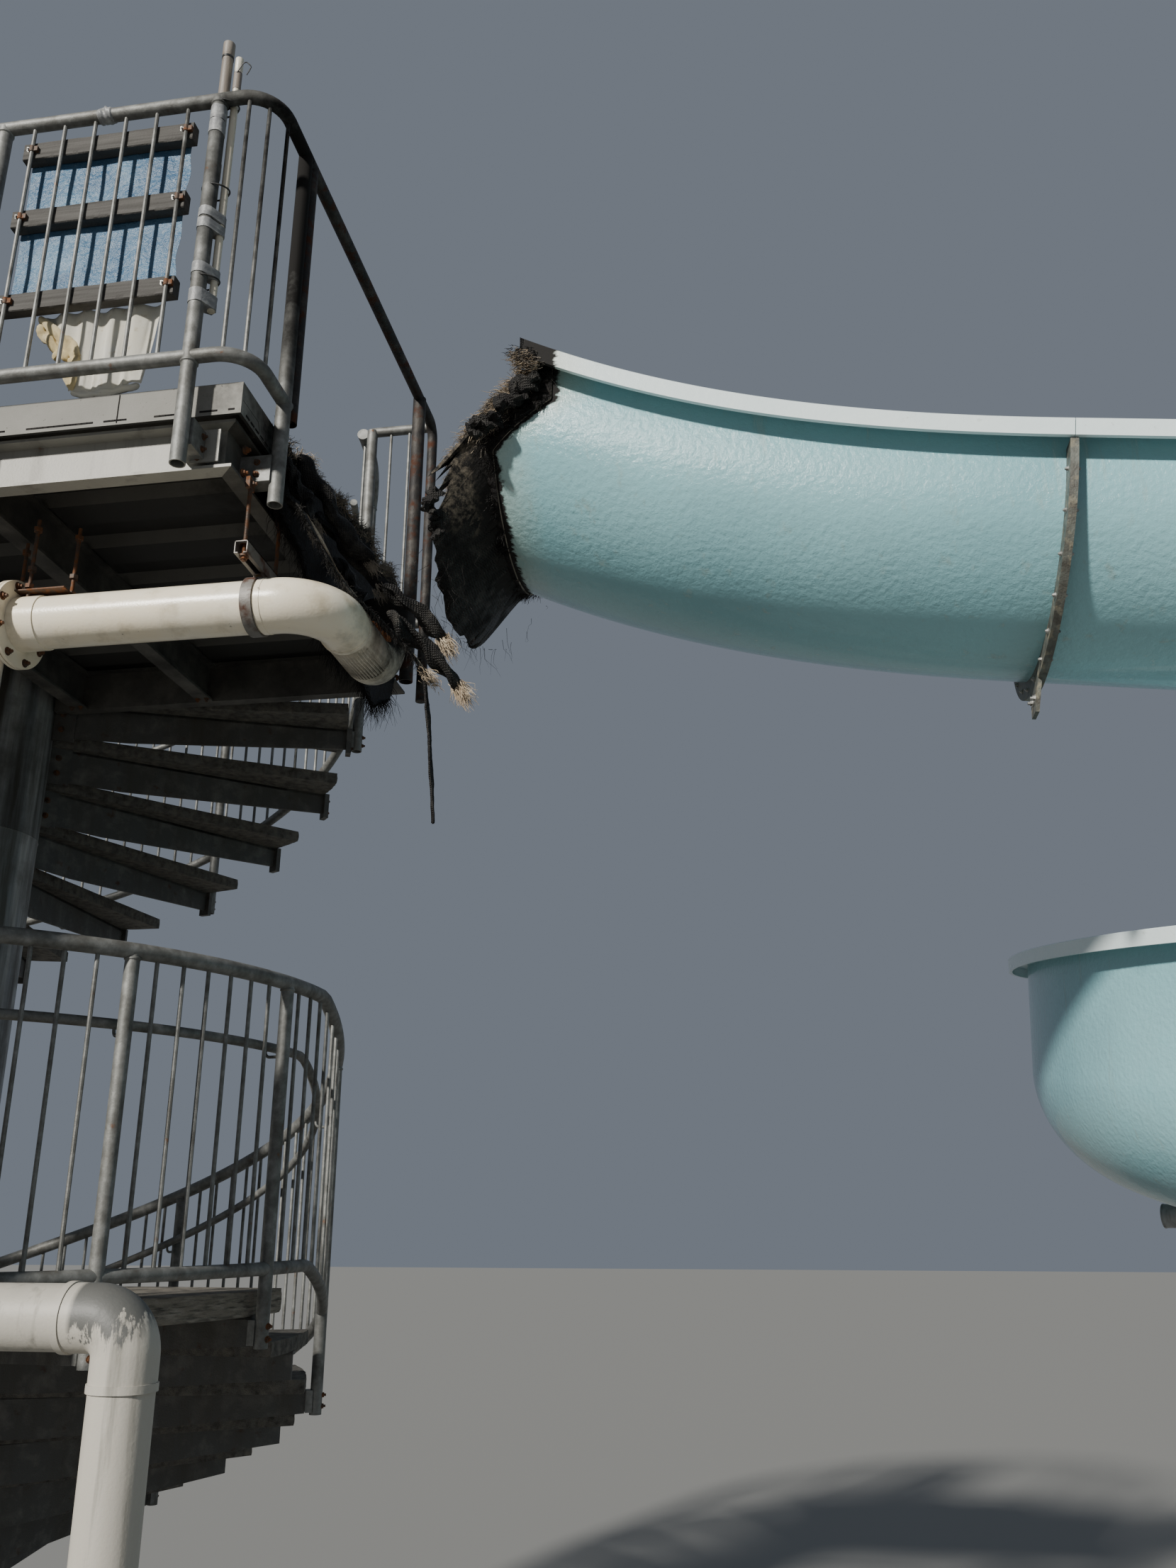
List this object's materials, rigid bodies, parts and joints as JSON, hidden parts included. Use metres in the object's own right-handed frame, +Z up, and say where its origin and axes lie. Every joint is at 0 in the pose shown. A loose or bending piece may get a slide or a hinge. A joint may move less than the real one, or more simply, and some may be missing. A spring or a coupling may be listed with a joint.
{
  "type": "water slide tower",
  "caption": "Platform on a round column with a spiral stair, pipes and guards, beside an open flume that bends round its own mast; the flume is burnt away where it met the platform.",
  "frame": {"origin": "centre of the underside of the column foot plate, on the ground", "axes": "+Z up, +X along the platform front edge towards the flume, +Y to the back"},
  "size_m": [11.2093, 5.6026, 6.2],
  "materials": {
    "galvanised": "weathered grey paint, blotched with rust",
    "charred": "sooty black",
    "burnt_fibre": "charred woven glass",
    "steel": "weathered grey paint",
    "stair_steel": "dirty grey, rough",
    "flume": "weathered gelcoat",
    "plastic": "off-white, dirty",
    "grey_pipe": "weathered grey",
    "plank": "weathered, rough",
    "vinyl": "translucent",
    "cloth": "dirty woven"
  },
  "bodies": {
    "root": {"column_foot_plate": "steel", "column": "galvanised", "deck": "stair_steel", "frame_front_channel": "steel", "frame_right_channel": "steel", "frame_left_channel": "steel", "frame_back_channel_right": "steel", "frame_back_channel_left": "steel", "frame_joist_1": "steel", "frame_joist_2": "steel", "frame_joist_3": "steel", "guard_front": "galvanised", "guard_left": "galvanised", "entry_bar": "charred", "guard_back": "galvanised", "tread_01": "stair_steel", "tread_02": "stair_steel", "tread_03": "stair_steel", "tread_04": "stair_steel", "tread_05": "stair_steel", "tread_06": "stair_steel", "tread_07": "stair_steel", "tread_08": "stair_steel", "tread_09": "stair_steel", "tread_10": "stair_steel", "tread_11": "stair_steel", "tread_12": "stair_steel", "tread_13": "stair_steel", "tread_14": "stair_steel", "landing": "stair_steel", "lower_flight": "stair_steel", "stair_guard_upper_1": "galvanised", "stair_guard_upper_2": "galvanised", "stair_guard_upper_3": "galvanised", "landing_guard": "galvanised", "stair_guard_lower_1": "galvanised", "stair_guard_lower_2": "galvanised", "stair_guard_lower_3": "galvanised", "flume_bay_1": "flume", "flume_bay_2": "flume", "flume_bay_3": "flume", "flume_bay_4": "flume", "flume_bay_5": "flume", "flume_bay_6": "flume", "mast_foot_plate": "steel", "flume_mast": "steel", "jet_pipe": "plastic", "valve_flange": "plastic", "feed_pipe": "grey_pipe", "pipe_hanger": "steel", "screen_plank_top": "plank", "screen_plank_middle": "plank", "screen_plank_bottom": "plank", "banner": "vinyl", "hanging_cloth": "cloth", "brown_pole": "plank", "white_pole": "plastic", "tub_remains": "charred", "burnt_flap": "burnt_fibre"}
  },
  "joints": []
}
